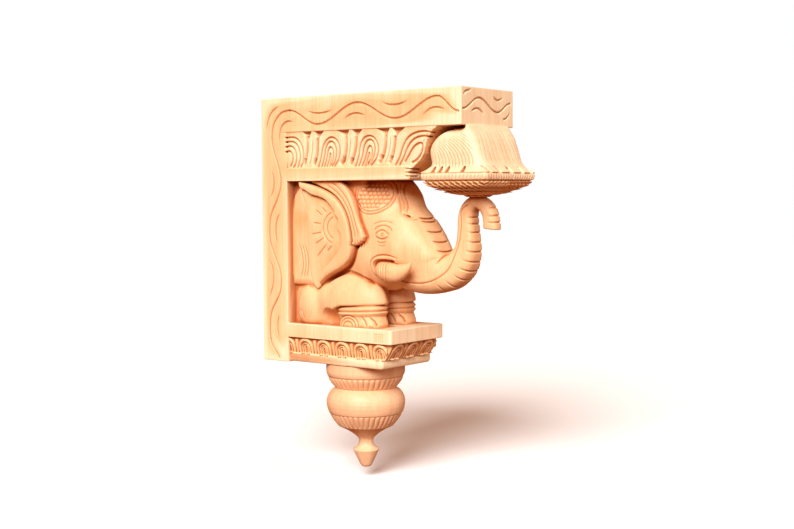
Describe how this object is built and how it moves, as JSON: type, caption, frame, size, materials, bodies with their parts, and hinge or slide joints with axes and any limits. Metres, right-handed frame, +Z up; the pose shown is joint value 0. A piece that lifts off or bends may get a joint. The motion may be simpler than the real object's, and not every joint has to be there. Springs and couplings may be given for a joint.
{
  "type": "carved elephant bracket",
  "caption": "Carved wooden wall bracket: an L-shaped back plate and beam over a kneeling elephant whose raised trunk meets a lotus boss, with a petal ledge and a turned pendant below.",
  "frame": {"origin": "middle of the back plate's rear face, on the wall plane", "axes": "+Z up, -Y out from the wall along the beam, X across the width"},
  "size_m": [0.0892, 0.2819, 0.38],
  "materials": {
    "carved_wood": "satin",
    "turned_wood": "satin"
  },
  "bodies": {
    "root": {"carved_bracket": "carved_wood", "turned_pendant": "turned_wood"}
  },
  "joints": []
}
